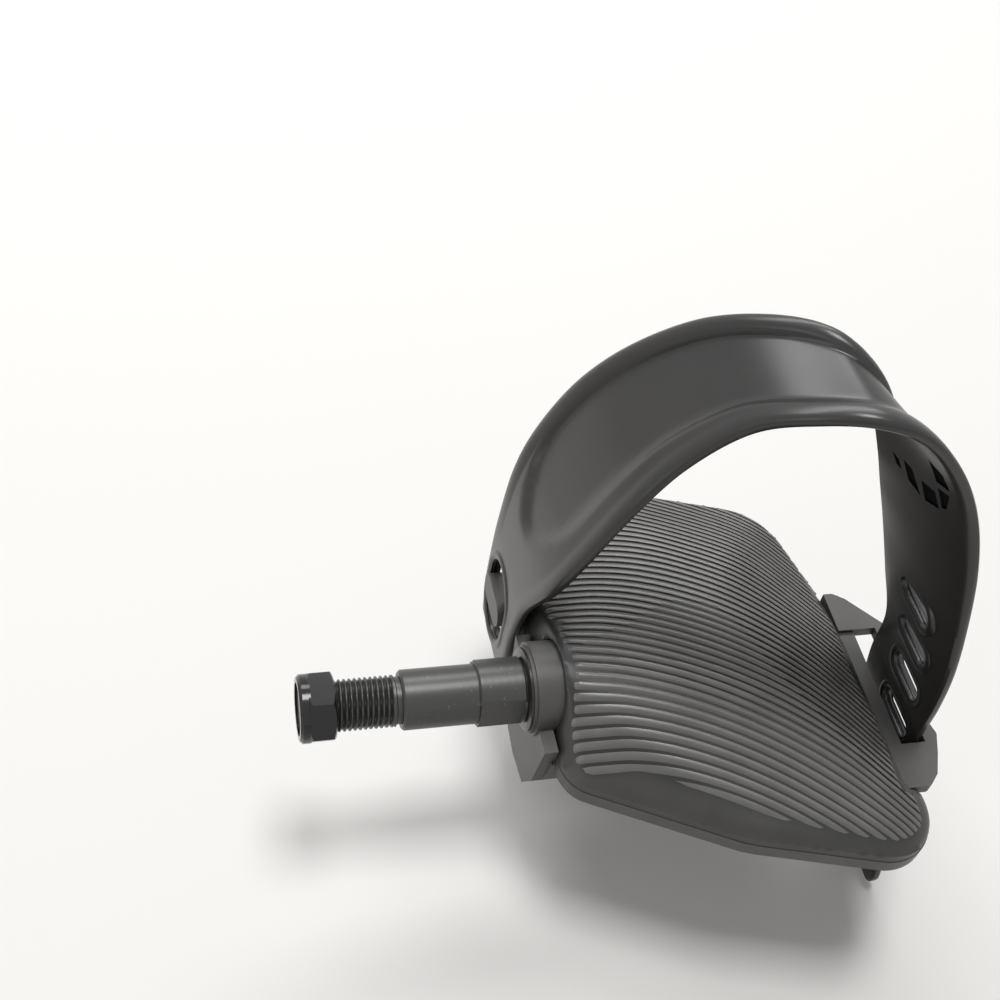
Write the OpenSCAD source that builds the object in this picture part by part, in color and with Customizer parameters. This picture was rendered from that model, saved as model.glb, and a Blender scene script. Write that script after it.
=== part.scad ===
// Exercise bike pedal with a foot strap, for a crank arm held by a nut.
// +X runs outwards along the spindle, +Z is up, the front edge faces -Y.
// The origin is on the spindle axis, where the crank arm meets the flats.

/* [Spindle] */
// Diameter of the threaded end
thread_d = 12.7; // [12:0.1:13.2]
// Length of the threaded end
thread_len = 24; // [23:0.5:30]
// Diameter of the plain seat for the crank arm
seat_d = 14.7; // [14.2:0.1:15.4]
// Length of the plain seat for the crank arm
seat_len = 18.5; // [16:0.5:24]
// Diameter of the section with the wrench flats
flats_d = 16.6; // [16:0.1:17.4]
// Length of the section with the wrench flats
flats_len = 11.5; // [9:0.5:14]
// Distance across the wrench flats
flats_af = 13; // [12.4:0.1:14]
// Diameter where the dust seal runs
seal_run_d = 15; // [14.4:0.1:15.6]
// Diameter of the shaft between the bearings
shaft_d = 9; // [8.4:0.1:9.6]

/* [Nut] */
// Distance across the flats of the nut
nut_af = 16; // [15.6:0.1:18]
// Height of the hexagon of the nut
nut_hex_h = 6.4; // [5.5:0.1:7]
// Height of the round collar of the nut
nut_collar_h = 2.2; // [1.8:0.1:2.6]
// Gap between the crank arm seat and the face of the nut
nut_gap = 16; // [12:0.5:16.5]

/* [Bearings] */
// Width of both bearings
brg_w = 5; // [5:0.1:5.4]
// Bore of the inner bearing
brg_a_bore = 10; // [9.8:0.1:10.2]
// Outer diameter of the inner bearing
brg_a_od = 19; // [18.8:0.1:19.4]
// Ball diameter of the inner bearing
ball_a_d = 3.2; // [3:0.05:3.2]
// Number of balls in the inner bearing
ball_a_n = 9; // [7:1:9]
// Bore of the outer bearing
brg_b_bore = 6; // [5.8:0.1:6.2]
// Outer diameter of the outer bearing
brg_b_od = 13; // [12.8:0.1:13.4]
// Ball diameter of the outer bearing
ball_b_d = 2.2; // [2:0.05:2.2]
// Number of balls in the outer bearing
ball_b_n = 9; // [7:1:9]
// Clear distance between the two bearings
brg_span = 41; // [36:1:42]

/* [Hub] */
// Outer diameter of the collar around the inner bearing
collar_d = 23.2; // [22.8:0.1:24]
// Outer diameter of the hub tube between the bearings
hub_d = 18.4; // [17.6:0.1:19]
// Outer diameter of the hub tube at the outer bearing
hub_end_d = 16; // [15.6:0.1:16.6]
// Part of the dust seal that shows outside the collar
seal_show = 0.9; // [0.8:0.1:1.4]

/* [Footbed] */
// Level of the lower edge of the hard rim
rim_z = -9; // [-10:0.5:-8.5]
// Radius of the rolled edge of the tread
roll_r = 6; // [5.5:0.5:7]
// Height of the top of the rolled edge
edge_z = 1; // [0.5:0.5:1.5]
// Height of the crown in the middle of the footbed
crown_z = 12.8; // [11.5:0.1:14]
// Thickness of the tread pad
pad_t = 2.2; // [1.8:0.1:2.4]
// Thickness of the plate that closes the frame under the deck
floor_t = 2; // [1.8:0.1:2.5]
// Thickness of the stiffening ribs
rib_t = 2.4; // [2:0.1:3]

/* [Strap loop] */
// Outer wall of the footbed beside the strap
side_x = 105.5; // [105:0.5:106]
// Front end of the strap slot in the loop
slot_y0 = -26; // [-27:0.5:-25]
// Rear end of the strap slot in the loop
slot_y1 = 9.4; // [9:0.2:11]
// Width of the ears beside the slot
ear_w = 12.2; // [10:0.2:14]
// Thickness of the ears
ear_t = 3; // [2.5:0.1:3.5]
// Clear width of the slot for the strap
loop_gap = 6; // [5:0.2:7]
// Thickness of the outer bar of the loop
bar_t = 3.5; // [3:0.1:4]

/* [Strap] */
// Thickness of the strap
strap_t = 2.8; // [2.4:0.1:3]
// Depth of the sunk panel in the outer face
panel_d = 1; // [0.6:0.1:1.2]
// Width of the raised rims beside the panel
rim_w = 5; // [4:0.5:6]
// Length of the adjusting slots
hole_l = 14; // [12:0.5:15]
// Width of the adjusting slots
hole_w = 5; // [4.4:0.2:5.2]
// Distance between the adjusting slots
hole_pitch = 11.5; // [11:0.5:13]

/* [Hidden] */
$fn = 64;

eps = 0.01;
run_fit = 0.05;
free_fit = 0.3;
race_share = 0.27;
clip_t = 0.8;
plug_l = 1.5;
washer_t = 1;
axle_nut_h = 4.5;
cap_t = 1.5;
rim_top = edge_z - roll_r;
rim_h = rim_top - rim_z;
rim_w_in = 5;
strip_w = 4.5;
bed_x = 18;
hook_y = -18.8;
hook_z = -14;
tail_lean = 0.3;

// Stations along the spindle axis
face_x = flats_len + free_fit + seal_show;
clip_x = face_x + plug_l + 0.1;
brg_a_x = clip_x + clip_t + 0.1;
brg_a_end = brg_a_x + brg_w;
brg_b_x = brg_a_end + brg_span;
brg_b_end = brg_b_x + brg_w;
axle_nut_x = brg_b_end + washer_t;
axle_end = axle_nut_x + axle_nut_h + 0.5;
hub_end = axle_end + free_fit + cap_t;
nut_x = -seat_len - nut_gap;
nut_h = nut_hex_h + nut_collar_h;
collar_end = 30;
ridge_x = 20;

// Corner circles of the footbed outline: x, y, radius
CORNERS = [[28, -19, 10], [69.5, -17.5, 30], [93.8, -41.8, 12.8], [side_x - 13, -12, 13], [side_x - 12, 2, 12],
    [76.8, 37, 20], [48, 49, 16.5], [33, 41, 15]];
MID = [60, 4];
// Share of the way to the middle, and share of the rise, for each ring of the crown
RINGS = [[0.1, 0.2], [0.2, 0.38], [0.32, 0.57], [0.46, 0.74], [0.62, 0.88], [0.8, 0.97]];

module along(x) translate([x, 0, 0]) rotate([0, 90, 0]) children();

module tube(x, l, ro, ri) {
    along(x) difference() {
        cylinder(r = ro, h = l);
        translate([0, 0, -1]) cylinder(r = ri, h = l + 2);
    }
}

// Convex dome of the footbed, drawn in by a wall thickness
module dome(in, low) {
    lift = edge_z - in;
    hull() {
        for (c = CORNERS) {
            if (low < rim_top) translate([c[0], c[1], low])
                cylinder(r = c[2] - in, h = rim_top - low, $fn = 40);
            translate([c[0], c[1], rim_top]) rotate_extrude($fn = 40)
                translate([c[2] - roll_r, 0]) intersection() {
                    circle(r = roll_r - in, $fn = 24);
                    square(roll_r);
                }
        }
        for (k = RINGS) for (c = CORNERS)
            translate([c[0] + (MID[0] - c[0]) * k[0], c[1] + (MID[1] - c[1]) * k[0],
                lift + (crown_z - edge_z) * k[1] - 0.1])
                cylinder(r = (c[2] - roll_r) * (1 - k[0]), h = 0.1, $fn = 16);
        translate([MID[0], MID[1], lift + crown_z - edge_z - 0.1]) cylinder(r = 4, h = 0.1, $fn = 24);
        ridge_end(ridge_x + in, collar_d / 2 + 1.7 - in);
        ridge_end(hub_end - 1, hub_end_d / 2 + 2.4 - in);
    }
}

// Upper part of a disc around the spindle axis, for the low ridge that the tread makes over the hub
module ridge_end(x, r) {
    translate([x, 0, 0]) rotate([90, 0, 90]) linear_extrude(1) intersection() {
        circle(r = r, $fn = 40);
        translate([-r, rim_top]) square([2 * r, r - rim_top]);
    }
}

module outline(in) {
    hull() for (c = CORNERS) translate([c[0], c[1]]) circle(r = c[2] - in, $fn = 48);
}

// Ear shape seen from above, swept out into the outer bar of the loop
module loop_plan() {
    in_x = side_x - strip_w;
    out_x = side_x + loop_gap + bar_t;
    y0 = slot_y0 - ear_w;
    y1 = slot_y1 + ear_w;
    difference() {
        intersection() {
            offset(r = 1.5) offset(delta = -1.5) polygon([[in_x - 4, y0], [side_x + 2.5, y0],
                [out_x - 4, y0 + 3], [out_x - 1.5, slot_y0 - 3.5], [out_x + 0.5, slot_y0 + 2],
                [out_x - 0.5, slot_y0 + 6], [out_x - 0.5, slot_y1 - 3], [out_x, slot_y1 + 0.5],
                [side_x + 1, y1 - 2], [side_x - 2, y1], [in_x - 4, y1]]);
            translate([in_x, y0 - 1]) square([60, y1 - y0 + 2]);
        }
        translate([in_x - 1, slot_y0]) square([side_x + loop_gap - in_x + 1, slot_y1 - slot_y0]);
    }
}

module race(x, ri, ro, pitch_r, ball_r) {
    along(x) rotate_extrude() difference() {
        translate([ri, 0]) square([ro - ri, brg_w]);
        translate([pitch_r, brg_w / 2]) circle(r = ball_r + run_fit);
    }
}

module ball_ring(x, pitch_r, ball_r, n) {
    for (i = [0 : n - 1])
        translate([x + brg_w / 2, pitch_r * sin(i * 360 / n), pitch_r * cos(i * 360 / n)])
            sphere(r = ball_r, $fn = 32);
}

module cage_ring(x, pitch_r, ball_r, n) {
    w = 2 * ball_r + 0.7;
    difference() {
        tube(x + (brg_w - w) / 2, w, pitch_r + ball_r * 0.28, pitch_r - ball_r * 0.28);
        for (i = [0 : n - 1]) translate([x + brg_w / 2, 0, 0]) rotate([-i * 360 / n, 0, 0])
            translate([0, 0, pitch_r - ball_r]) cylinder(r = ball_r + run_fit, h = 2 * ball_r);
    }
}

module shield_pair(x, ri, ro) {
    tube(x + 0.1, 0.25, ro, ri);
    tube(x + brg_w - 0.35, 0.25, ro, ri);
}

module outer_race(x, ri, ro, pitch_r, ball_r, shield_r) {
    difference() {
        race(x, ri, ro, pitch_r, ball_r);
        along(x - 1) cylinder(r = shield_r, h = 1.4);
        along(x + brg_w - 0.4) cylinder(r = shield_r, h = 1.4);
    }
}

function pitch(bore, od) = (bore + od) / 4;
function land(bore, od, s) = pitch(bore, od) + s * race_share * (od - bore) / 4;

// Hard lower frame: rim band, ribs, hub, keel, ears with the strap loop, and the strap button
module pedal_frame() {
    color([0.34, 0.34, 0.35]) difference() {
        union() {
            translate([0, 0, rim_z]) linear_extrude(rim_h) difference() {
                outline(0);
                outline(rim_w_in);
            }
            translate([0, 0, rim_top - floor_t]) linear_extrude(floor_t) outline(rim_w_in - 1);
            translate([0, 0, rim_z + 1]) linear_extrude(rim_h - 1) intersection() {
                outline(rim_w_in - 1);
                rib_lines();
            }
            hub_tube();
            keel();
            strap_loop();
            peg();
        }
        hub_bores();
        translate([side_x, slot_y0, rim_z - 0.5]) cube([loop_gap, slot_y1 - slot_y0, 20]);
    }
}

// Crowned upper half of the hard shell, which carries the tread
module pedal_deck() {
    color([0.3, 0.3, 0.31]) difference() {
        dome(pad_t, rim_top);
        along(0) cylinder(r = collar_d / 2, h = collar_end + 1);
        along(0) cylinder(r = hub_d / 2, h = brg_b_x - 3);
        along(0) cylinder(r = hub_end_d / 2, h = hub_end + 1);
        side_notch(0);
    }
}

// Room for the ears and the flat strip beside the strap
module side_notch(gap) {
    translate([side_x - strip_w - gap, slot_y0 - ear_w - gap, rim_z])
        cube([30, slot_y1 - slot_y0 + 2 * (ear_w + gap), 40]);
}

module hub_tube() {
    along(face_x) {
        cylinder(r = collar_d / 2 - 0.8, h = 1);
        translate([0, 0, 0.8]) cylinder(r = collar_d / 2, h = collar_end - face_x);
        cylinder(r = hub_d / 2, h = brg_b_x - 3 - face_x);
        cylinder(r = hub_end_d / 2, h = hub_end - face_x);
    }
}

module hub_bores() {
    along(face_x - 1) cylinder(r = brg_a_od / 2, h = brg_a_end - face_x + 1);
    along(clip_x) cylinder(r = brg_a_od / 2 + 0.6, h = clip_t);
    along(face_x) cylinder(r = brg_b_od / 2 - 0.5, h = hub_end - face_x);
    along(brg_a_end - 1) cylinder(r = brg_a_od / 2 - 1.5, h = brg_b_x - 5 - brg_a_end);
    along(brg_b_x) cylinder(r = brg_b_od / 2, h = hub_end - brg_b_x + 0.5);
}

// Cross ribs and long ribs under the deck
module rib_lines() {
    for (x = [40, 58, 76, 92]) translate([x, -70]) square([rib_t, 140]);
    for (y = [-26, 26]) translate([15, y]) square([95, rib_t]);
}

// Weighted keel below the hub, with its chamfered end face beside the crank
module keel() {
    translate([face_x + 1.5, 0, 0]) rotate([90, 0, 90]) linear_extrude(bed_x - face_x - 1.8)
        keel_outline(-1);
    translate([bed_x - 1, 0, 0]) rotate([90, 0, 90]) linear_extrude(7) keel_outline(rim_top - floor_t);
    translate([bed_x, 0, 0]) rotate([90, 0, 90]) linear_extrude(42) polygon([[-12, rim_top - 1],
        [-9, -18], [-6, -21], [6, -21], [9, -18], [12, rim_top - 1]]);
}

module keel_outline(top) {
    polygon([[-18, top], [-15, -19], [-10, -28], [0, -30], [7, -29], [14, -19], [17, top]]);
}

// Side wall, ears and outer bar that close a loop around the strap
module strap_loop() {
    translate([0, 0, edge_z - 1 - ear_t]) linear_extrude(ear_t) loop_plan();
    translate([side_x - strip_w, slot_y0 - ear_w, rim_z])
        cube([strip_w, slot_y1 - slot_y0 + 2 * ear_w, -rim_z - 1]);
    strap_hook();
}

// Hook below the loop, whose tongue passes through one slot of the strap
module strap_hook() {
    tip_x = tail_x + strap_t / 2 + 0.4;
    y = hook_y - (hole_l - 2.5) / 2;
    z = hook_z - (hole_w - 1.6) / 2;
    translate([side_x - 4, y - 2.5, z - 4]) cube([4, hole_l + 2.5, rim_z - z + 5]);
    translate([side_x - 1, y, z]) cube([tip_x - side_x + 3, hole_l - 2.5, hole_w - 1.6]);
    translate([tip_x, y, z - 3]) cube([2, hole_l - 2.5, hole_w + 1.4]);
}

// Button that holds the inner end of the strap
module peg() {
    z = rim_top - 4.5;
    translate([bed_x, 27, z - 6]) cube([7, 17, 10.5]);
    translate([tail_in_x - strap_t / 2 - 1.2, 0, 0]) rotate([90, 0, 90])
        linear_extrude(bed_x - tail_in_x + strap_t / 2 + 2) {
            translate([31, z]) circle(r = 4);
            translate([39, z]) circle(r = 4);
            translate([31, z - 4]) square([8, 8]);
        }
}

module tread_pad() {
    color([0.42, 0.42, 0.43]) difference() {
        dome(0, rim_top);
        dome(pad_t, rim_top - 1);
        along(0) cylinder(r = collar_d / 2, h = collar_end + 1);
        side_notch(free_fit);
    }
}

tail_x = side_x + loop_gap - 0.5 - strap_t / 2;
tail_in_x = 15;
// Centre line of the strap: x, z, the y of the front and the rear edge, and the lean of the rear edge
STRAP = [[tail_in_x + 0.2, -25, 21, 45, 0], [tail_in_x, -15, 19.5, 47, 0],
    [tail_in_x, -4, 19, 47.5, 0], [tail_in_x + 0.4, 10, 16, 48, 0], [17.6, 28, 7.5, 49.5, 0],
    [22, 42, 5, 50.5, 0], [29, 58, 4.8, 49.2, 0], [38, 73, 5, 44.8, 0], [48, 88, 1, 36, 0],
    [58, 97.5, -6.5, 26, 0], [69, 101, -11.5, 17.5, -1], [80, 97, -13, 11, -4], [91, 86, -14, 9, -8],
    [98.8, 73, -15.5, 9.5, -10], [103.7, 58, -18.5, 12.5, -9], [106.8, 41, -21.7, 13.5, -5.5],
    [108.8, 26, -24, 10.5, -2.5], [tail_x, 13, -25, 6, 0], [tail_x, 0, -25.4, 4.5, 0],
    [tail_x, -12, -27.6, 1, 0], [tail_x, -24, -31, -3.4, 0], [tail_x, -36, -35.6, -9, 0],
    [tail_x, -46, -39.5, -16, 0], [tail_x, -50, -39, -22, 0]];
STEPS = 3;

function spline(a, b, c, d, t) = 0.5 * ((2 * b) + (c - a) * t + (2 * a - 5 * b + 4 * c - d) * t * t
    + (3 * b - a - 3 * c + d) * t * t * t);
function at(i) = STRAP[min(max(i, 0), len(STRAP) - 1)];
function path(s) = let(i = min(floor(s), len(STRAP) - 2), t = s - i)
    spline(at(i - 1), at(i), at(i + 1), at(i + 2), t);
function tang(s) = let(a = path(max(s - 0.05, 0)), b = path(min(s + 0.05, len(STRAP) - 1)),
    d = [b[0] - a[0], b[1] - a[1]]) d / norm(d);
function sink(s) = panel_d * max(0, min(1, (s - 3.6) / 1.2)) * max(0, min(1, (15.4 - s) / 2));

// Cross-section: across the strap, then out from its inner face
function section(s) = let(p = path(s), y0 = p[2], y1 = p[3], k = sink(s), t = strap_t, w = rim_w)
    [[y0, 0.6], [y0, t - 0.9], [y0 + 0.8, t], [y0 + w - 1, t], [y0 + w, t - k],
        [y1 - w - 2, t - k], [y1 - w + 0.5, t], [y1 - 0.8, t], [y1, t - 0.9], [y1, 0.6],
        [y1 - 0.6, 0], [y0 + 0.6, 0]];
function ring3(s) = let(p = path(s), d = tang(s)) [for (q = section(s))
    [p[0] - d[1] * (q[1] - strap_t / 2) + p[4] * (q[0] - p[2]) / (p[3] - p[2]), q[0],
        p[1] + d[0] * (q[1] - strap_t / 2)]];

module strap_solid() {
    n = (len(STRAP) - 1) * STEPS;
    m = 12;
    pts = [for (i = [0 : n]) each ring3(i / STEPS)];
    sides = [for (i = [0 : n - 1], j = [0 : m - 1])
        let(a = i * m + j, b = i * m + (j + 1) % m)
        each [[a, b + m, b], [a, a + m, b + m]]];
    ends = [for (j = [1 : m - 2]) each [[0, j, j + 1], [n * m, n * m + j + 1, n * m + j]]];
    polyhedron(points = pts, faces = concat(sides, ends));
}

module slot_cut(y, z) {
    half = (hole_l - hole_w) / 2;
    translate([100, y, z]) rotate([90, 0, 90]) linear_extrude(20) {
        translate([-half, 0]) circle(r = hole_w / 2);
        translate([half, 0]) circle(r = hole_w / 2);
        translate([-half, -hole_w / 2]) square([2 * half, hole_w]);
    }
}

module strap() {
    color([0.2, 0.2, 0.2]) difference() {
        strap_solid();
        for (i = [-4 : 1]) slot_cut(hook_y - i * hole_pitch * tail_lean, hook_z - i * hole_pitch);
        translate([5, 0, 0]) rotate([90, 0, 90]) linear_extrude(20) {
            for (y = [32.7, 37.3], z = [-16, -3]) translate([y, z]) circle(r = 6);
            translate([32.7, -22]) square([4.6, 25]);
            translate([26.7, -16]) square([16.6, 13]);
        }
    }
}

module spindle() {
    rt = thread_d / 2;
    rs = seat_d / 2;
    rf = flats_d / 2;
    tip = -seat_len - thread_len;
    color([0.1, 0.1, 0.1]) difference() {
        along(0) rotate_extrude() polygon([[0, tip], [rt - 1, tip], [rt, tip + 1],
            [rt, -seat_len - 1.5], [rt - 0.6, -seat_len - 1.2], [rt - 0.6, -seat_len],
            [rs - 0.5, -seat_len], [rs, -seat_len + 0.5], [rs, 0], [rf - 0.4, 0], [rf, 0.4],
            [rf, flats_len - 0.4], [rf - 0.4, flats_len], [seal_run_d / 2, flats_len],
            [seal_run_d / 2, clip_x - 0.1], [land(brg_a_bore, brg_a_od, -1) - 0.1, clip_x - 0.1],
            [land(brg_a_bore, brg_a_od, -1) - 0.1, brg_a_x], [brg_a_bore / 2, brg_a_x],
            [brg_a_bore / 2, brg_a_end + 0.5], [shaft_d / 2, brg_a_end + 0.5],
            [shaft_d / 2, brg_b_x - 6], [land(brg_b_bore, brg_b_od, -1) - 0.1, brg_b_x - 5],
            [land(brg_b_bore, brg_b_od, -1) - 0.1, brg_b_x], [brg_b_bore / 2, brg_b_x],
            [brg_b_bore / 2, axle_end - 0.5], [brg_b_bore / 2 - 0.5, axle_end], [0, axle_end]]);
        for (s = [-1, 1]) translate([-eps, s > 0 ? flats_af / 2 : -flats_af / 2 - 10, -20])
            cube([flats_len + 2 * eps, 10, 40]);
    }
}

module spindle_nut() {
    color([0.08, 0.08, 0.08]) difference() {
        intersection() {
            union() {
                along(nut_x - nut_hex_h) rotate([0, 0, 30]) cylinder(d = nut_af / cos(30), h = nut_hex_h, $fn = 6);
                along(nut_x - nut_h) cylinder(r = nut_af / 2 + 0.3, h = nut_collar_h + 0.5);
            }
            along(nut_x - nut_h) rotate_extrude() polygon([[0, 0], [nut_af / 2 - 0.4, 0],
                [nut_af / 2 + 0.3, 0.7], [nut_af / 2 + 0.3, nut_collar_h],
                [nut_af / 2 / cos(30), nut_collar_h + 0.8],
                [nut_af / 2 / cos(30), nut_h - 0.8], [nut_af / 2 - 0.2, nut_h], [0, nut_h]]);
        }
        along(nut_x - nut_h - 1) cylinder(d = thread_d + 2 * run_fit, h = nut_h + 2);
        along(nut_x - nut_h + 0.4) cylinder(d = thread_d + 2 + 2 * run_fit, h = nut_collar_h);
    }
}

module nut_insert() {
    color([0.16, 0.16, 0.18]) tube(nut_x - nut_h + 0.4 + run_fit, nut_collar_h - 2 * run_fit,
        thread_d / 2 + 1, thread_d / 2 + run_fit);
}

module dust_seal() {
    color([0.05, 0.05, 0.05]) {
        tube(face_x, plug_l, brg_a_od / 2, seal_run_d / 2 + run_fit);
        along(flats_len + free_fit) rotate_extrude() polygon([[seal_run_d / 2 + run_fit, 0],
            [seal_run_d / 2 + 1.6, 0], [brg_a_od / 2 + 0.8, seal_show - 0.6],
            [brg_a_od / 2 + 0.8, seal_show], [seal_run_d / 2 + run_fit, seal_show]]);
    }
}

module bearing_clip() {
    color([0.6, 0.6, 0.6]) difference() {
        tube(clip_x, clip_t, brg_a_od / 2 + 0.6, brg_a_od / 2 - 1.2);
        translate([clip_x - 1, -1.5, 0]) cube([clip_t + 2, 3, 20]);
    }
}

module inner_race_a() color([0.7, 0.7, 0.72])
    race(brg_a_x, brg_a_bore / 2, land(brg_a_bore, brg_a_od, -1), pitch(brg_a_bore, brg_a_od), ball_a_d / 2);

module outer_race_a() color([0.7, 0.7, 0.72])
    outer_race(brg_a_x, land(brg_a_bore, brg_a_od, 1), brg_a_od / 2, pitch(brg_a_bore, brg_a_od),
        ball_a_d / 2, land(brg_a_bore, brg_a_od, 1) + 0.35);

module bearing_balls_a() color([0.8, 0.8, 0.82])
    ball_ring(brg_a_x, pitch(brg_a_bore, brg_a_od), ball_a_d / 2, ball_a_n);

module bearing_cage_a() color([0.75, 0.62, 0.35])
    cage_ring(brg_a_x, pitch(brg_a_bore, brg_a_od), ball_a_d / 2, ball_a_n);

module bearing_shields_a() color([0.55, 0.55, 0.56])
    shield_pair(brg_a_x, land(brg_a_bore, brg_a_od, -1) + 0.1, land(brg_a_bore, brg_a_od, 1) + 0.35);

module inner_race_b() color([0.7, 0.7, 0.72])
    race(brg_b_x, brg_b_bore / 2, land(brg_b_bore, brg_b_od, -1), pitch(brg_b_bore, brg_b_od), ball_b_d / 2);

module outer_race_b() color([0.7, 0.7, 0.72])
    outer_race(brg_b_x, land(brg_b_bore, brg_b_od, 1), brg_b_od / 2, pitch(brg_b_bore, brg_b_od),
        ball_b_d / 2, land(brg_b_bore, brg_b_od, 1) + 0.2);

module bearing_balls_b() color([0.8, 0.8, 0.82])
    ball_ring(brg_b_x, pitch(brg_b_bore, brg_b_od), ball_b_d / 2, ball_b_n);

module bearing_cage_b() color([0.75, 0.62, 0.35])
    cage_ring(brg_b_x, pitch(brg_b_bore, brg_b_od), ball_b_d / 2, ball_b_n);

module bearing_shields_b() color([0.55, 0.55, 0.56])
    shield_pair(brg_b_x, land(brg_b_bore, brg_b_od, -1) + 0.1, land(brg_b_bore, brg_b_od, 1) + 0.2);

module axle_washer() color([0.6, 0.6, 0.62])
    tube(brg_b_end, washer_t, land(brg_b_bore, brg_b_od, -1) - 0.1, brg_b_bore / 2);

module axle_nut() color([0.5, 0.5, 0.52]) difference() {
    along(axle_nut_x) cylinder(d = 2 * brg_b_bore - 1.2, h = axle_nut_h, $fn = 6);
    along(axle_nut_x - 1) cylinder(d = brg_b_bore, h = axle_nut_h + 2);
}

module end_cap() color([0.12, 0.12, 0.12])
    along(hub_end - cap_t) cylinder(r = brg_b_od / 2, h = cap_t);

pedal_frame();
pedal_deck();
tread_pad();
strap();
spindle();
spindle_nut();
nut_insert();
dust_seal();
bearing_clip();
inner_race_a();
outer_race_a();
bearing_balls_a();
bearing_cage_a();
bearing_shields_a();
inner_race_b();
outer_race_b();
bearing_balls_b();
bearing_cage_b();
bearing_shields_b();
axle_washer();
axle_nut();
end_cap();
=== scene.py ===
# %% [markdown]
# # A pedal with a foot strap
# The pedal is a hard plastic frame under a crowned tread, a soft strap that arches over the foot,
# and a black steel spindle with a nut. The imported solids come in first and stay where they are.
# New pieces are then modelled over or in place of them, in metres, in the same frame.

# %% Load the fixed frame
import math

import bpy
import numpy as np
from mathutils import Matrix, Vector
from mathutils.bvhtree import BVHTree


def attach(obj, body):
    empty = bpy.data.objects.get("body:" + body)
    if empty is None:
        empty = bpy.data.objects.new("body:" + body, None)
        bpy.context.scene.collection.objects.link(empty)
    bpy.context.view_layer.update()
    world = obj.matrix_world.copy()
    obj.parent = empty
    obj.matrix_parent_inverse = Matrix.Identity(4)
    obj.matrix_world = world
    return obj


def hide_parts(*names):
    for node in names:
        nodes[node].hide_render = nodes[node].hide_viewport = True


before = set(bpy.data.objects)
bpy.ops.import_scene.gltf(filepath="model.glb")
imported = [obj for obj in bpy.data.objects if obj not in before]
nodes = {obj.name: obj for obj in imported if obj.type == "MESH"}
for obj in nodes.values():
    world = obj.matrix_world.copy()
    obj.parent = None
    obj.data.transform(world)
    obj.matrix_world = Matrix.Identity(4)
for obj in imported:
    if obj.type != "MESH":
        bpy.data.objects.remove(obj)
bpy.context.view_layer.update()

MM = 0.001


# %% [markdown]
# Operators act on whatever is selected, so a few small helpers clear the selection, pick one
# object, and apply its modifiers. Every finished piece ends at the origin with its place in its mesh.

# %% Helpers for selecting and finishing
def pick(obj):
    if bpy.context.mode != "OBJECT":
        bpy.ops.object.mode_set(mode="OBJECT")
    bpy.ops.object.select_all(action="DESELECT")
    obj.select_set(True)
    bpy.context.view_layer.objects.active = obj
    return obj


def apply_modifiers(obj):
    pick(obj)
    for mod in list(obj.modifiers):
        bpy.ops.object.modifier_apply(modifier=mod.name)


def place_in_mesh(obj):
    pick(obj)
    bpy.ops.object.transform_apply(location=True, rotation=True, scale=True)


def in_edit_mode(obj, *moves):
    pick(obj)
    bpy.ops.object.mode_set(mode="EDIT")
    bpy.ops.mesh.select_all(action="SELECT")
    for move in moves:
        move()
    bpy.ops.object.mode_set(mode="OBJECT")


def points_of(obj):
    co = np.empty(len(obj.data.vertices) * 3)
    obj.data.vertices.foreach_get("co", co)
    return co.reshape(-1, 3)


def set_points(obj, co):
    obj.data.vertices.foreach_set("co", np.ascontiguousarray(co, dtype=float).ravel())
    obj.data.update()


def step(v):
    v = np.clip(v, 0, 1)
    return v * v * (3 - 2 * v)


# %% [markdown]
# The camera looks down on the pedal from the front and a little from the nut's side. Its place was
# solved from known points of the object in the picture, so the script writes it as a matrix:
# the columns are the camera's right, its up and the opposite of where it looks.

# %% Camera
cam_data = bpy.data.cameras.new("camera")
cam_data.lens = 51.2
cam_data.sensor_width = 36
cam_data.clip_start = 0.01
camera = bpy.data.objects.new("camera", cam_data)
bpy.context.scene.collection.objects.link(camera)
right = Vector((0.97156, -0.19273, 0.13754)).normalized()
ahead = Vector((0.23009, 0.63141, -0.74052)).normalized()
up = right.cross(ahead).normalized()
turn = Matrix((right, up, -ahead)).transposed()
camera.matrix_world = Matrix.Translation(Vector((-71.32, -185.60, 290.08)) * MM) @ turn.to_4x4()
bpy.context.scene.camera = camera
bpy.context.scene.view_settings.view_transform = "Standard"
print("camera at mm:", [round(v / MM, 1) for v in camera.location])


# %% [markdown]
# A material is made of nodes. One small function adds a node with its settings, its values and
# its links, and another turns the sRGB colours that people write into the linear ones that Blender
# wants. Patterns read Object coordinates in metres, so a grain of 0.4 mm has a scale of 1 / 0.0004.

# %% Helpers for materials
def linear(code):
    parts = [int(code[i:i + 2], 16) / 255 for i in (1, 3, 5)]
    return [c / 12.92 if c <= 0.04045 else ((c + 0.055) / 1.055) ** 2.4 for c in parts] + [1.0]


def add_node(tree, kind, values=None, links=None, **settings):
    made = tree.nodes.new(kind)
    for name, value in settings.items():
        setattr(made, name, value)
    for name, value in (values or {}).items():
        made.inputs[name].default_value = value
    for name, socket in (links or {}).items():
        tree.links.new(socket, made.inputs[name])
    return made


def new_material(name, roughness, metallic=0.0, level=0.5):
    mat = bpy.data.materials.new(name)
    mat.use_nodes = True
    shader = mat.node_tree.nodes["Principled BSDF"]
    shader.inputs["Roughness"].default_value = roughness
    shader.inputs["Metallic"].default_value = metallic
    shader.inputs["Specular IOR Level"].default_value = level
    return mat, mat.node_tree, shader


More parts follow.
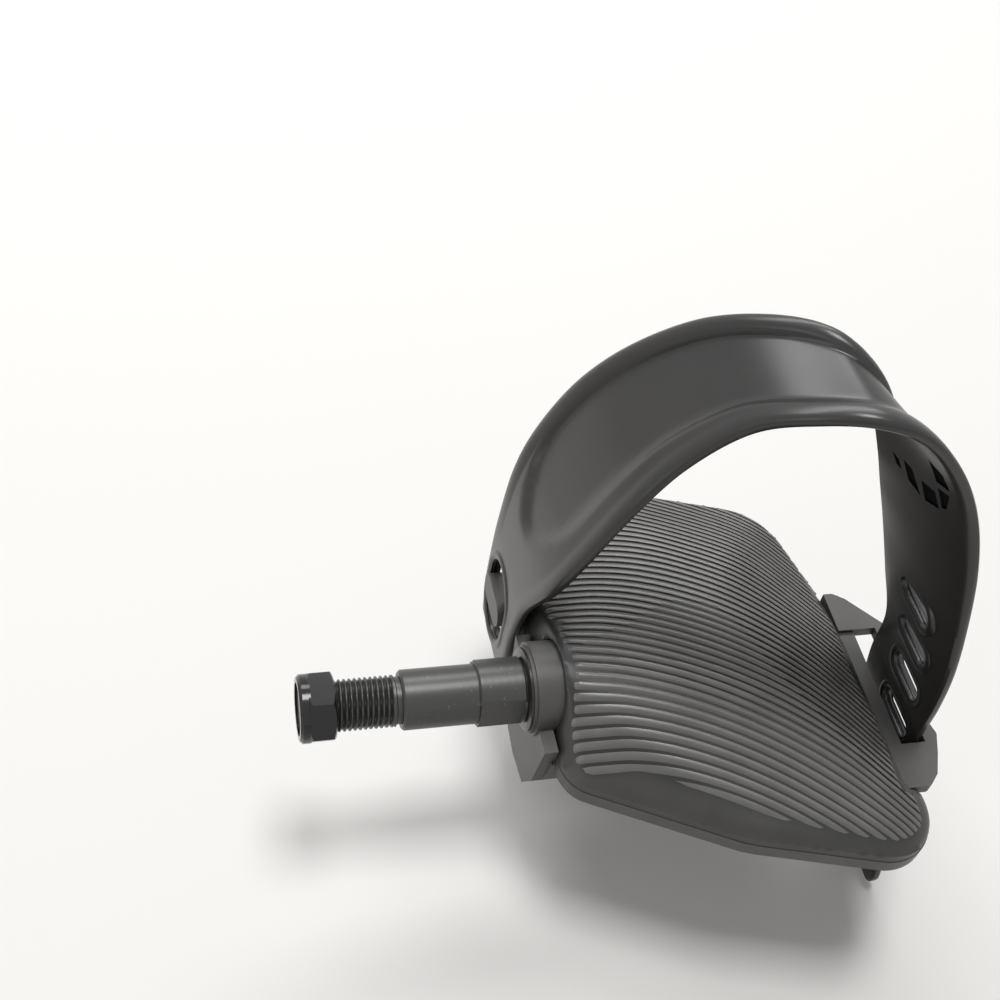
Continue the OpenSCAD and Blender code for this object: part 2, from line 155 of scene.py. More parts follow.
def moulded(name, dark, light, roughness, patch_mm, grain_mm, grain_depth_mm, metallic=0.0, level=0.5):
    """A surface with slow changes of tone and a fine grain, both at real sizes."""
    mat, tree, shader = new_material(name, roughness, metallic, level)
    place = add_node(tree, "ShaderNodeTexCoord").outputs["Object"]
    patch = add_node(tree, "ShaderNodeTexNoise", {"Scale": 1 / (patch_mm * MM), "Detail": 4.0},
                     {"Vector": place})
    ramp = add_node(tree, "ShaderNodeValToRGB", links={"Fac": patch.outputs["Fac"]})
    ramp.color_ramp.elements[0].position, ramp.color_ramp.elements[1].position = 0.3, 0.7
    ramp.color_ramp.elements[0].color, ramp.color_ramp.elements[1].color = linear(dark), linear(light)
    tree.links.new(ramp.outputs["Color"], shader.inputs["Base Color"])
    grain = add_node(tree, "ShaderNodeTexNoise", {"Scale": 1 / (grain_mm * MM), "Detail": 2.0},
                     {"Vector": place})
    bump = add_node(tree, "ShaderNodeBump", {"Strength": 1.0, "Distance": grain_depth_mm * MM},
                    {"Height": grain.outputs["Fac"]})
    tree.links.new(bump.outputs["Normal"], shader.inputs["Normal"])
    return mat


# %% [markdown]
# The frame is a glass-filled nylon, moulded in one piece with a fine matt grain. The strap is a softer
# plastic with a smoother skin that shines along its rims. The tread is a rubbery pad whose ridges
# catch the light and whose grooves are painted dark as shade.

# %% Plastics and rubber
# Glass-filled nylon: mid grey, matt, with a grain of about half a millimetre.
nylon_frame = moulded("glass_filled_nylon", "#4b4a49", "#575654", 0.45, 14, 0.5, 0.02)
# Soft PVC: near black, with a satin skin.
strap_pvc = moulded("soft_pvc", "#201f1e", "#292726", 0.3, 20, 0.6, 0.01, level=0.55)
# Thermoplastic rubber on top of the ridges, paler than the grooves, whose near black is painted shade.
ridge_rubber = moulded("ridge_tread_rubber", "#5a5856", "#686663", 0.36, 9, 0.35, 0.02, level=0.8)
# Black nylon ring in the nut, and the lip seal.
insert_nylon = moulded("black_nylon", "#26262b", "#303035", 0.35, 4, 0.3, 0.005)
seal_rubber = moulded("nitrile_rubber", "#161616", "#202020", 0.3, 3, 0.3, 0.005)
print("materials:", len(bpy.data.materials))

# %% [markdown]
# The steel parts differ in how they were finished. The spindle is blackened steel with tool marks and
# a few bright specks, the nut is a glossy black coat, and the bearings are bare ground steel
# with a brass cage.

# %% Steel, coat and brass
# Black oxide: a dark conversion coat with a soft sheen and small bright rubs.
black_oxide, tree, shader = new_material("black_oxide_steel", 0.36, 0.6)
place = add_node(tree, "ShaderNodeTexCoord").outputs["Object"]
specks = add_node(tree, "ShaderNodeTexNoise", {"Scale": 1 / (0.9 * MM), "Detail": 3.0}, {"Vector": place})
ramp = add_node(tree, "ShaderNodeValToRGB", links={"Fac": specks.outputs["Fac"]})
ramp.color_ramp.elements[0].position, ramp.color_ramp.elements[0].color = 0.67, linear("#4a4a48")
ramp.color_ramp.elements[1].position, ramp.color_ramp.elements[1].color = 0.78, linear("#8a857a")
tree.links.new(ramp.outputs["Color"], shader.inputs["Base Color"])
turned = add_node(tree, "ShaderNodeTexWave", {"Scale": 1 / (6 * MM), "Distortion": 2.0, "Detail": 2.0},
                  {"Vector": place}, bands_direction="X")
bump = add_node(tree, "ShaderNodeBump", {"Strength": 0.6, "Distance": 0.01 * MM},
                {"Height": turned.outputs["Fac"]})
tree.links.new(bump.outputs["Normal"], shader.inputs["Normal"])

# Black coat on the nut: dark and glossy, with sharp highlights on the flats.
nut_coat = moulded("glossy_black_coat", "#1a1a1a", "#222222", 0.16, 6, 1.5, 0.004, 0.5, 0.7)
# Ground bearing steel and pressed brass, with fine lines round the axis.
ground_steel = moulded("ground_steel", "#b4b6b9", "#c9cbcd", 0.28, 3, 0.3, 0.002, 1.0)
cage_brass = moulded("pressed_brass", "#b9964f", "#c9a860", 0.34, 3, 0.3, 0.002, 1.0)

LOOKS = {
    "pedal_frame": nylon_frame, "pedal_deck": nylon_frame, "end_cap": nylon_frame,
    "tread_pad": ridge_rubber, "strap": strap_pvc, "spindle": black_oxide, "spindle_nut": nut_coat,
    "nut_insert": insert_nylon, "dust_seal": seal_rubber,
    "bearing_cage_a": cage_brass, "bearing_cage_b": cage_brass,
}
for name, obj in nodes.items():
    obj.data.materials.clear()
    obj.data.materials.append(LOOKS.get(name, ground_steel))
print("dressed nodes:", len(nodes))


# %% [markdown]
# The outline of the footbed, seen from above, is the tight loop round eight circles. How far a point
# lies inside that loop tells how much of a ridge to show there, so the loop is kept as straight edges.

# %% Outline of the footbed
CORNERS = [(28, -19, 10), (69.5, -17.5, 30), (93.8, -41.8, 12.8), (92.5, -12, 13), (93.5, 2, 12),
           (76.8, 37, 20), (48, 49, 16.5), (33, 41, 15)]
rim = [(cx + r * math.cos(a), cy + r * math.sin(a)) for cx, cy, r in CORNERS
       for a in np.linspace(0, 2 * math.pi, 48, endpoint=False)]


def loop_round(points):
    points = sorted(points)
    halves = []
    for run in (points, points[::-1]):
        chain = []
        for p in run:
            while len(chain) > 1 and ((chain[-1][0] - chain[-2][0]) * (p[1] - chain[-2][1])
                                      - (chain[-1][1] - chain[-2][1]) * (p[0] - chain[-2][0])) <= 0:
                chain.pop()
            chain.append(p)
        halves += chain[:-1]
    return np.array(halves)


LOOP = loop_round(rim)


def inside(x, y):
    """How far inside the outline each point lies, in millimetres."""
    best = np.full(np.shape(x), 1e9)
    for a, b in zip(LOOP, np.roll(LOOP, -1, axis=0)):
        side = (b - a) / np.hypot(*(b - a))
        best = np.minimum(best, side[0] * (y - a[1]) - side[1] * (x - a[0]))
    return best


print("outline edges:", len(LOOP), "middle is inside by mm:", round(float(inside(60.0, 4.0)), 1))

# %% [markdown]
# The tread pad is a smooth crowned skin over the hard deck. The solid has flat facets, so a merged
# copy is remeshed into small even squares and smoothed, with a vertex group that leaves the rim alone.
# Remeshing suits it because the skin has one soft shape and no sharp detail.

# %% Crowned base of the tread
tread_base = bpy.data.objects.new("tread_base", nodes["tread_pad"].data.copy())
bpy.context.scene.collection.objects.link(tread_base)
in_edit_mode(tread_base, lambda: bpy.ops.mesh.remove_doubles(threshold=0.002 * MM))
squares = tread_base.modifiers.new("squares", "REMESH")
squares.mode = "VOXEL"
squares.voxel_size = 1.0 * MM
apply_modifiers(tread_base)
co = points_of(tread_base) / MM
depth = inside(co[:, 0], co[:, 1])
soft = tread_base.vertex_groups.new(name="soft")
near_notch = (co[:, 0] > 97) & (co[:, 1] > -42) & (co[:, 1] < 26)
for i, w in enumerate(step((depth - 1.5) / 9)):
    if w > 0.01 and not near_notch[i]:
        soft.add([i], float(w), "REPLACE")
smooth = tread_base.modifiers.new("smooth", "SMOOTH")
smooth.factor, smooth.iterations, smooth.vertex_group = 0.5, 90, "soft"
even = tread_base.modifiers.new("even", "SMOOTH")
even.factor, even.iterations = 0.5, 3
apply_modifiers(tread_base)
co = points_of(tread_base) / MM
depth = inside(co[:, 0], co[:, 1])
slope = [(inside(co[:, 0] + dx, co[:, 1] + dy) - depth) / 0.1 for dx, dy in ((0.1, 0), (0, 0.1))]
skirt = (co[:, 2] < -2.2) & (depth < 1.4) & (co[:, 0] < 100)
for axis in (0, 1):
    co[skirt, axis] -= (slope[axis] * (depth - 0.12))[skirt]
co[co[:, 2] < -4.2, 2] = -5.2
set_points(tread_base, co * MM)
pick(tread_base)
bpy.ops.object.shade_smooth_by_angle(angle=math.radians(42))
print("tread base faces:", len(tread_base.data.polygons))

# %% [markdown]
# About fifty fine ridges run across the tread in the same gentle curve. They are one grid: five rows
# of points make a ridge, and each point is dropped on the base and lifted to the ridge's
# section. Near the outline the ridges sink into the base, so their ends fade as on a moulded pad.

# %% Ridges of the tread
PITCH, LIFT = 2.4, 0.55
SECTION = [(-0.98, -0.5), (-0.72, 0.34), (0.0, LIFT), (0.72, 0.34), (0.98, -0.5)]
first, last, x0, x1 = -24, 47, 18.5, 101.5
cols = 96
rows = (last - first + 1) * 5 - 1
bpy.ops.mesh.primitive_grid_add(x_subdivisions=cols, y_subdivisions=rows, size=1)
ribs = bpy.context.object
ribs.name = "tread_ribs"
co = points_of(ribs)
i = np.rint((co[:, 0] + 0.5) * cols).astype(int)
j = np.rint((co[:, 1] + 0.5) * rows).astype(int)
ridge = first + j // 5
offs = np.array([s[0] for s in SECTION])[j % 5]
high = np.array([s[1] for s in SECTION])[j % 5]
x = x0 + (x1 - x0) * i / cols
bend = -0.1 * (x - 20) - 0.0055 * (x - 20) ** 2 - 0.9 * np.sin((x - 20) / 14) * step((34 - x) / 14)
y = ridge * PITCH + 12 + offs + bend
print("ridges:", last - first + 1, "points:", len(co))

# %% [markdown]
# The base is turned into a tree of faces, which a ray from above can be tested against quickly. That
# gives the height under each point. Points off the footbed are deleted, and a Solidify
# modifier closes the sheet into thin bars sunk in the base.

# %% Drop the ridges on the base
tree_of_base = BVHTree.FromPolygons([v.co[:] for v in tread_base.data.vertices],
                                    [p.vertices[:] for p in tread_base.data.polygons])
base_z = np.full(len(x), np.nan)
for k in range(len(x)):
    hit = tree_of_base.ray_cast(Vector((x[k] * MM, y[k] * MM, 0.04)), Vector((0, 0, -1)))
    if hit[0] is not None:
        base_z[k] = hit[0].z / MM
depth = inside(x, y)
ragged = 1.3 * np.sin(ridge * 12.9898) * step((x - 85) / 8)
front = step((x - 23) / 14) * step((14 - y) / 25)
start = 1.2 + front * 2.7 * step((90 - x) / 45) + ragged * step((y + 42) / 4)
shown = step((depth - start) / (2.2 + 1.6 * front))
strip = (x > 96.5) & (y > -40) & (y < 24)
shown = np.where(strip, shown * step((100.0 + 0.6 * ragged - x) / 1.6), shown)
collar = (x < 32) & (np.abs(y) < 13)
shown = np.where(collar, shown * step((x - 21.2 - 0.8 * np.sin(ridge * 7.1)) / 1.6), shown)
z = base_z + np.where(high > 0, high * shown - 0.5 * (1 - shown), high)
off = np.isnan(base_z) | (depth < 0.5) | (base_z < -4)
z[off] = 0
set_points(ribs, np.stack([x, y, z], axis=1) * MM)
pick(ribs)
bpy.ops.object.mode_set(mode="EDIT")
bpy.ops.mesh.select_mode(type="VERT")
bpy.ops.mesh.select_all(action="DESELECT")
bpy.ops.object.mode_set(mode="OBJECT")
ribs.data.vertices.foreach_set("select", off)
bpy.ops.object.mode_set(mode="EDIT")
bpy.ops.mesh.delete(type="VERT")
bpy.ops.object.mode_set(mode="OBJECT")
wall = ribs.modifiers.new("wall", "SOLIDIFY")
wall.thickness, wall.offset = 0.6 * MM, -1
apply_modifiers(ribs)
pick(ribs)
bpy.ops.object.shade_smooth_by_angle(angle=math.radians(60))
place_in_mesh(ribs)
ribs.data.materials.append(ridge_rubber)
print("ridge faces:", len(ribs.data.polygons), "shown share:", round(float(np.mean(shown[~off])), 2))

# %% [markdown]
# Between the ridges the same rubber is painted nearly black, as painted shade for the light that hardly gets in.
# A vertex attribute marks how far a point of the base lies in the grooved field, and the material
# mixes a pale rolled edge and the painted groove shade by it.

# %% Painted groove shade on the tread base
co = points_of(tread_base) / MM
depth = inside(co[:, 0], co[:, 1])
front = step((co[:, 0] - 23) / 14) * step((14 - co[:, 1]) / 25)
start = 1.4 + front * 2.7 * step((90 - co[:, 0]) / 45)
field = step((depth - start) / (1.8 + 1.2 * front)) * (co[:, 0] < 99.5)
mark = tread_base.data.attributes.new("field", "FLOAT", "POINT")
mark.data.foreach_set("value", field.astype(np.float32))
base_rubber = moulded("tread_rubber_with_grooves", "#353433", "#3e3d3c", 0.42, 11, 0.5, 0.015)
tree = base_rubber.node_tree
shader = tree.nodes["Principled BSDF"]
skin = shader.inputs["Base Color"].links[0].from_socket
fact = add_node(tree, "ShaderNodeAttribute", attribute_name="field").outputs["Fac"]
groove_shade_mix = add_node(tree, "ShaderNodeMix", data_type="RGBA")
tree.links.new(fact, groove_shade_mix.inputs[0])
tree.links.new(skin, groove_shade_mix.inputs[6])
# Painted shade: near black where the base lies in the grooved field.
groove_shade_mix.inputs[7].default_value = linear("#131312")
tree.links.new(groove_shade_mix.outputs[2], shader.inputs["Base Color"])
tread_base.data.materials.clear()
tread_base.data.materials.append(base_rubber)
print("grooved share:", round(float(field.mean()), 2))

# %% [markdown]
# The strap rises from a button at the inner side, arches over the foot, and runs down through the loop
# at the outer side, where one of its slots catches on a hook. Its path is a smooth curve through
# listed stations: x and z of the middle, y of the front and rear edges, and the lean of the
# rear edge. The same stations drive the solid strap.

# %% Path of the strap
TAIL_X, THICK = 109.6, 2.8
STATIONS = np.array([
    (15.2, -25, 21, 45, 0), (15, -15, 19.5, 47, 0), (15, -4, 19, 47.5, 0), (15.4, 10, 16, 48, 0),
    (17.6, 28, 7.5, 49.5, 0), (22, 42, 5, 50.5, 0), (29, 58, 4.8, 49.2, 0), (38, 73, 5, 44.8, 0),
    (48, 88, 1, 36, 0), (58, 97.5, -6.5, 26, 0), (69, 101, -11.5, 17.5, -2), (80, 97, -13, 11, -6),
    (91, 86, -14, 9, -11), (98.8, 73, -15.5, 9.5, -12.5), (103.7, 58, -18.5, 12.5, -10), (106.8, 41, -21.7, 13.5, -5.5),
    (108.8, 26, -24, 10.5, -2.5), (TAIL_X, 13, -25, 6, 0), (TAIL_X, 0, -25.4, 4.5, 0), (TAIL_X, -12, -27.6, 1, 0),
    (TAIL_X, -24, -31, -3.4, 0), (TAIL_X, -36, -35.6, -9, 0), (TAIL_X, -46, -39.5, -16, 0), (TAIL_X, -50, -39, -22, 0)])


def on_path(s):
    s = min(max(s, 0), len(STATIONS) - 1)
    k = min(int(s), len(STATIONS) - 2)
    a, b, c, d = (STATIONS[min(max(n, 0), len(STATIONS) - 1)] for n in (k - 1, k, k + 1, k + 2))
    t = s - k
    return 0.5 * (2 * b + (c - a) * t + (2 * a - 5 * b + 4 * c - d) * t * t + (3 * b - a - 3 * c + d) * t ** 3)


def heading(s):
    run = on_path(s + 0.05)[:2] - on_path(s - 0.05)[:2]
    return run / np.hypot(*run)


def at_height(z, outer=True):
    """The place along the strap's outer or inner leg where its middle is at this height."""
    span = np.linspace(12, len(STATIONS) - 1, 400) if outer else np.linspace(0, 6, 200)
    return float(min(span, key=lambda s: abs(on_path(s)[1] - z)))


print("top of the strap, mm:", [round(float(v), 1) for v in on_path(10)])

# %% [markdown]
# Across the strap, a rim stands proud along each edge, and a panel is sunk between them. The panel
# starts in a rounded tongue near the button. A grid is rolled into a tube of this section, its seam
# is merged and its ends are filled, which gives one closed skin with even squares.

# %% Roll a grid into the strap
FRONT = [0.12, 0.5, 1.2, 2.2, 3.2, 4.2, 5.0, 5.8, 6.6, 7.4, 8.2, 9.0]
REAR = [8.4, 7.4, 6.6, 6.1, 5.7, 5.3, 4.9, 4.2, 3.2, 2.2, 1.2, 0.5, 0.12]


def panel_depth(s, w, wide):
    front = 4.6 + 5.2 * step((9.5 - s) / 4.5)
    rear = min(5.2, wide * 0.2)
    mid, half = (front + wide - rear) / 2, (wide - rear - front) / 2
    edge = math.sqrt(max(0.0, 1 - (1 - min(max((s - 3.75) / 1.5, 0), 1)) ** 2)) * half
    gap = edge - abs(w - mid)
    fall = 3.4 if w < mid else 1.1
    deep = 1.7 - 0.6 * float(step((s - 9.5) / 1.5))
    return deep * float(step(gap / fall)) * float(step((15.6 - s) / 2.2))


def rim_swell(s, w, wide):
    lively = float(step((s - 2.5) / 2) * step((17 - s) / 3))
    rear = max(0.0, 1 - ((wide - w - 2.6) / 2.6) ** 2)
    front = max(0.0, 1 - ((w - 2.4) / 2.4) ** 2)
    return lively * (0.75 * rear + 0.35 * front)


def across(s):
    """Points round the section: distance from the front edge, and height over the inner face."""
    wide = on_path(s)[3] - on_path(s)[2]
    fit = min(1.0, wide / 28)
    front, rear = [f * fit for f in FRONT], [wide - r * fit for r in REAR]
    middle = list(np.linspace(front[-1], rear[0], 13))[1:-1]
    out = []
    for w in front + middle + rear:
        near = min(w, wide - w)
        round_off = 0.9 * (1 - math.sqrt(max(0.0, 1 - (1 - min(near / 1.3, 1)) ** 2)))
        out.append((w, THICK - round_off - panel_depth(s, w, wide) + rim_swell(s, w, wide)))
    back = [(wide - 0.6, 0.0)] + [(w, 0.0) for w in np.linspace(wide - 2, 2, 12)] + [(0.6, 0.0)]
    return [(0.0, 0.7), (0.0, THICK - 1.3)] + out + [(wide, THICK - 1.3), (wide, 0.7)] + back


def strap_point(s, w, h):
    x, z, y0, y1, lean = on_path(s)
    dx, dz = heading(s)
    up_by = h - THICK / 2
    return x - dz * up_by + lean * w / (y1 - y0), y0 + w, z + dx * up_by


ring = len(across(5))
along = 264
bpy.ops.mesh.primitive_grid_add(x_subdivisions=ring, y_subdivisions=along, size=1)
strap = bpy.context.object
strap.name = "foot_strap"
co = points_of(strap)
i = np.rint((co[:, 0] + 0.5) * ring).astype(int) % ring
j = np.rint((co[:, 1] + 0.5) * along).astype(int)
stops = np.linspace(0, len(STATIONS) - 1, along + 1)
rolled = np.array([[strap_point(s, w, h) for w, h in across(s)] for s in stops])
set_points(strap, rolled[j, i] * MM)
in_edit_mode(strap, lambda: bpy.ops.mesh.remove_doubles(threshold=0.001 * MM),
             lambda: bpy.ops.mesh.select_all(action="DESELECT"),
             lambda: bpy.ops.mesh.select_non_manifold(), lambda: bpy.ops.mesh.edge_face_add(),
             lambda: bpy.ops.mesh.select_all(action="SELECT"),
             lambda: bpy.ops.mesh.normals_make_consistent(inside=False))
ease = strap.modifiers.new("ease", "SMOOTH")
ease.factor, ease.iterations = 0.5, 2
apply_modifiers(strap)
strap.data.materials.append(strap_pvc)
print("strap faces:", len(strap.data.polygons))


# %% [markdown]
# A row of slots lets the strap be set longer or shorter. Each is a rounded slot, cut through with a
# Boolean, with a low bead round it. One cylinder and one torus are pulled apart in the middle
# to make the slot and its bead, and both are copied down the tail.

# %% Slots and beads
def long_form(obj, axis, half):
    """Pulls a round primitive apart, so that a circle becomes a slot."""
    co = points_of(obj)
    co[:, axis] += np.sign(np.round(co[:, axis], 7)) * half
    set_points(obj, co)


ALONG_X = (0, math.pi / 2, 0)               # turns a primitive's own axis from Z to X
SLOT_R, SLOT_HALF, THROUGH = 2.5, 4.5, 14   # radius, half the straight length, and how far a cutter reaches
SLOTS = [(-18.8 - k * 11.5 * 0.3, -14 - k * 11.5) for k in range(-4, 2)]
cutters, beads = [], []
for y, z in SLOTS:
    s = at_height(z)
    dx, dz = heading(s)
    lean = math.atan2(-dx, -dz)
    spot = on_path(s)
    mid_x = spot[0] + spot[4] * (y - spot[2]) / (spot[3] - spot[2])
    bpy.ops.mesh.primitive_cylinder_add(vertices=32, radius=SLOT_R * MM, depth=THROUGH * MM, rotation=ALONG_X)
    cutter = bpy.context.object
    place_in_mesh(cutter)
    long_form(cutter, 1, SLOT_HALF * MM)
    cutter.location = Vector((mid_x, y, z)) * MM
    cutter.rotation_euler = (0, lean, 0)
    place_in_mesh(cutter)
    cutter.data.materials.append(strap_pvc)
    cutters.append(cutter)
    bpy.ops.mesh.primitive_torus_add(major_segments=48, minor_segments=14, major_radius=3.9 * MM,
                                     minor_radius=(THICK / 2 + 0.28) * MM, rotation=ALONG_X)
    bead = bpy.context.object
    place_in_mesh(bead)
    co = points_of(bead)
    co[:, 0] *= 0.98
    set_points(bead, co)
    long_form(bead, 1, SLOT_HALF * MM)
    bead.location = Vector((mid_x, y, z)) * MM
    bead.rotation_euler = (0, lean, 0)
    place_in_mesh(bead)
    beads.append(bead)
print("slots at mm:", [(round(y, 1), round(z, 1)) for y, z in SLOTS])

# %% [markdown]
# At the inner end a long window slips over the button on the frame, and a raised frame runs round it.
# It is made as the slots are, with the long way up.

# %% Window at the inner end
WINDOW_R, WINDOW_HALF = 8.3, 4.2
bpy.ops.mesh.primitive_cylinder_add(vertices=40, radius=WINDOW_R * MM, depth=12 * MM, rotation=ALONG_X)
window = bpy.context.object
place_in_mesh(window)
long_form(window, 2, WINDOW_HALF * MM)
window.location = Vector((15, 35, -9.5)) * MM
place_in_mesh(window)
window.data.materials.append(strap_pvc)
cutters.append(window)
bpy.ops.mesh.primitive_torus_add(major_segments=56, minor_segments=14, major_radius=9.7 * MM,
                                 minor_radius=1.7 * MM, rotation=ALONG_X)
bead = bpy.context.object
place_in_mesh(bead)
long_form(bead, 2, WINDOW_HALF * MM)
bead.location = Vector((14.9, 35, -9.5)) * MM
place_in_mesh(bead)
beads.append(bead)

# %% [markdown]
# On the inner face, high on the outer side, the strap is cored out into small pockets with thin webs
# between them, which keeps thick plastic from sinking as it cools. Each pocket is a block bent to
# follow the inner face, and cut a little way into it.

# %% Pockets in the inner face
# The cored faces are painted almost black as the shade deep in the pockets, and kept rough and dull.
pocket_shade_pvc = moulded("soft_pvc_painted_pocket_shade", "#060606", "#0b0b0b", 0.9, 5, 0.4, 0.01, level=0.1)
# Each line holds the corners of one pocket: the place along the strap, and the distance from its front edge.
POCKETS = [
    ((12.67, 18.8), (12.76, 17.5), (13.00, 17.5), (12.94, 18.8)),
    ((12.64, 15.8), (12.73, 13.8), (13.27, 13.5), (13.12, 16.2)),
    ((12.82, 11.8), (12.82, 8.2), (13.18, 8.2), (13.27, 12.2)),
    ((11.95, 7.0), (12.10, 4.0), (12.46, 3.5), (12.49, 7.0)),
    ((12.64, 7.0), (12.61, 4.0), (13.03, 5.8), (13.09, 7.2)),]
CORED, CLEAR = 0.6, 0.8     # how deep a pocket goes, and how far its cutter stands out of the face
for corners in POCKETS:
    bpy.ops.mesh.primitive_cube_add(size=1)
    block = bpy.context.object
    in_edit_mode(block, lambda: bpy.ops.mesh.subdivide(number_cuts=3))
    a, b, c, d = np.array(corners)
    shaped = []
    for deep, u, v in points_of(block) + 0.5:
        s, w = (1 - v) * ((1 - u) * a + u * b) + v * ((1 - u) * d + u * c)
        shaped.append(strap_point(s, w, deep * (CORED + CLEAR) - CLEAR))
    set_points(block, np.array(shaped) * MM)
    in_edit_mode(block, lambda: bpy.ops.mesh.normals_make_consistent(inside=False))
    # Painted shade: the cut faces of each pocket take this near-black material.
    block.data.materials.append(pocket_shade_pvc)
    cutters.append(block)
for cutter in cutters:
    cut = strap.modifiers.new("cut", "BOOLEAN")
    cut.operation, cut.solver, cut.object, cut.material_mode = "DIFFERENCE", "EXACT", cutter, "TRANSFER"
    apply_modifiers(strap)
    bpy.data.objects.remove(cutter)
pick(strap)
for b in beads:
    b.data.materials.append(strap_pvc)
    b.select_set(True)
bpy.ops.object.join()
bpy.ops.object.shade_smooth_by_angle(angle=math.radians(38))
print("strap faces after cutting:", len(strap.data.polygons))

# %% [markdown]
# The spindle is a turned part: thread, relief, plain seat, two wrench flats, and the steps that carry
# the bearings. A grid is rolled round the axis with a radius for each place along it. In the
# thread the radius also depends on the angle, which makes a true helix of 1.27 mm pitch.

# %% Turn the spindle
PITCH_T = 1.27
plain = [(-41.5, 6.3), (-20.0, 6.3), (-19.7, 5.75), (-18.5, 5.75), (-18.5, 6.85), (-18.0, 7.35), (-17.9, 7.35),
         (-0.02, 7.35), (0, 7.85), (0.35, 8.3), (0.5, 8.3), (11.0, 8.3), (11.15, 8.3), (11.5, 7.9), (11.5, 7.5),
         (14.2, 7.5), (14.2, 6.54), (15.2, 6.54), (15.2, 5), (20.7, 5), (20.7, 4.5), (55.2, 4.5), (56.2, 4.18),
         (61.2, 4.18), (61.2, 3), (71.7, 3), (72.2, 2.5), (72.2, 0.01)]
thread = [(x, 6.3) for x in np.arange(-41.4, -20.05, PITCH_T / 8)]
profile = [(-42.5, 0.01), (-42.5, 5.0), (-42.4, 5.3)] + sorted(plain[:1] + thread + plain[1:2]) + plain[2:]
around = 96
bpy.ops.mesh.primitive_grid_add(x_subdivisions=around, y_subdivisions=len(profile) - 1, size=1)
spindle = bpy.context.object
spindle.name = "turned_spindle"
co = points_of(spindle)
i = np.rint((co[:, 0] + 0.5) * around).astype(int) % around
j = np.rint((co[:, 1] + 0.5) * (len(profile) - 1)).astype(int)
px, pr = (np.array(v)[j] for v in zip(*profile))
angle = 2 * math.pi * i / around
phase = ((px + 42) / PITCH_T - i / around) % 1
cut_in = 0.75 * (1 - np.abs(2 * phase - 1) * 1.25).clip(0, 1)
fade = step((px + 42.6) / 1.2) * step((-20.0 - px) / 0.9) * (px > -42.3)
r = pr - cut_in * fade
y, z = r * np.sin(angle), r * np.cos(angle)
flats = (px > 0.01) & (px < 11.45)
y = np.where(flats, np.clip(y, -6.5, 6.5), y)
set_points(spindle, np.stack([px, y, z], axis=1) * MM)
in_edit_mode(spindle, lambda: bpy.ops.mesh.remove_doubles(threshold=0.02 * MM),
             lambda: bpy.ops.mesh.normals_make_consistent(inside=False))
pick(spindle)
bpy.ops.object.shade_smooth_by_angle(angle=math.radians(32))
spindle.data.materials.clear()
spindle.data.materials.append(black_oxide)
print("spindle faces:", len(spindle.data.polygons))

# %% [markdown]
# Every piece moves with a body of the mechanism: the tread and strap with the pedal, the spindle with
# the crank. Where a piece stands for a solid, the solid is hidden but still does the colliding.

# %% What moves with what
for obj, body, slot, stands_for in ((tread_base, "pedal", "tread", "tread_pad"), (ribs, "pedal", "tread", None),
                                    (strap, "pedal", "strap", "strap"),
                                    (spindle, "spindle", "spindle_steel", "spindle")):
    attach(obj, body)
    if stands_for:
        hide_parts(stands_for)

# %% [markdown]
# The pedal stands on a plain pale floor. The floor is lit by the lamps and keeps the soft shadow, and a
# little of its own light, seen by the camera only, brings it up to the white of a studio sweep.

# %% Floor and background
def seen_directly(tree):
    """1 for rays from the camera, off a shiny face or through a clear one, and 0 for soft light."""
    path = add_node(tree, "ShaderNodeLightPath").outputs
    either = add_node(tree, "ShaderNodeMath", links={0: path["Is Camera Ray"], 1: path["Is Glossy Ray"]},
                      operation="MAXIMUM")
    return add_node(tree, "ShaderNodeMath", links={0: either.outputs[0], 1: path["Is Transmission Ray"]},
                    operation="MAXIMUM").outputs[0]


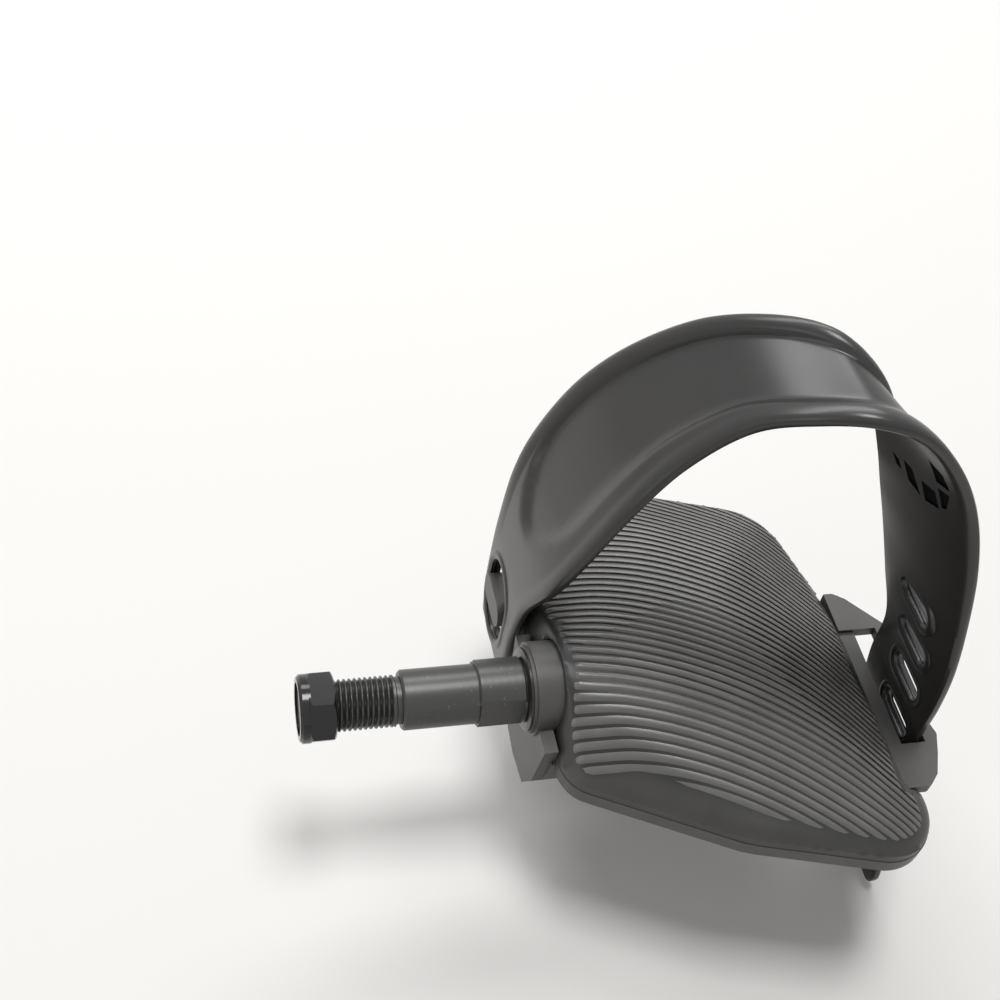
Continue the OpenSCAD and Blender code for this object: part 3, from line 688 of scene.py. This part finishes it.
bpy.ops.mesh.primitive_plane_add(size=6, location=(0.05, 0, -0.0525))
floor = bpy.context.object
floor.name = "studio_floor"
place_in_mesh(floor)
sweep, tree, shader = new_material("painted_studio_floor", 0.9, level=0.1)
shader.inputs["Base Color"].default_value = linear("#f2f1ef")
glow = add_node(tree, "ShaderNodeEmission", {"Color": (1, 1, 1, 1)})
amount = add_node(tree, "ShaderNodeMath", {1: 0.08}, {0: seen_directly(tree)}, operation="MULTIPLY")
tree.links.new(amount.outputs[0], glow.inputs["Strength"])
both = add_node(tree, "ShaderNodeAddShader", links={0: shader.outputs[0], 1: glow.outputs[0]})
tree.links.new(both.outputs[0], tree.nodes["Material Output"].inputs["Surface"])
floor.data.materials.append(sweep)

world = bpy.data.worlds.new("studio")
bpy.context.scene.world = world
world.use_nodes = True
tree = world.node_tree
tree.nodes.clear()
soft_fill = add_node(tree, "ShaderNodeBackground", {"Color": (1, 0.95, 0.9, 1), "Strength": 0.18})
white = add_node(tree, "ShaderNodeBackground", {"Color": (1, 1, 1, 1), "Strength": 1.0})
mix = add_node(tree, "ShaderNodeMixShader", links={
    0: seen_directly(tree), 1: soft_fill.outputs[0], 2: white.outputs[0]})
add_node(tree, "ShaderNodeOutputWorld", links={"Surface": mix.outputs[0]})

# %% [markdown]
# A softbox almost overhead puts the shadow right under the pedal, as in the picture. A long, low one
# behind is what the strap's panel mirrors as a broad sheen. A weak lamp from the front left keeps
# the near side readable. All stand two metres off, so the floor is lit evenly.


# %% Lamps
def lamp(name, place, aim, wide, tall, watts):
    data = bpy.data.lights.new(name, "AREA")
    data.shape, data.size, data.size_y, data.energy = "RECTANGLE", wide, tall, watts
    obj = bpy.data.objects.new(name, data)
    bpy.context.scene.collection.objects.link(obj)
    obj.location = place
    obj.rotation_euler = (Vector(aim) - Vector(place)).to_track_quat("-Z", "Y").to_euler()


lamp("top_softbox", (0.1, 0.2, 2.0), (0.06, 0, 0), 0.6, 0.6, 18.5)
lamp("rear_softbox", (-0.1, 1.3, 1.4), (0.06, 0, 0.05), 2.4, 0.5, 22.0)
lamp("left_fill", (-1.4, -0.6, 0.6), (0.08, 0, 0.03), 0.8, 0.8, 2.0)
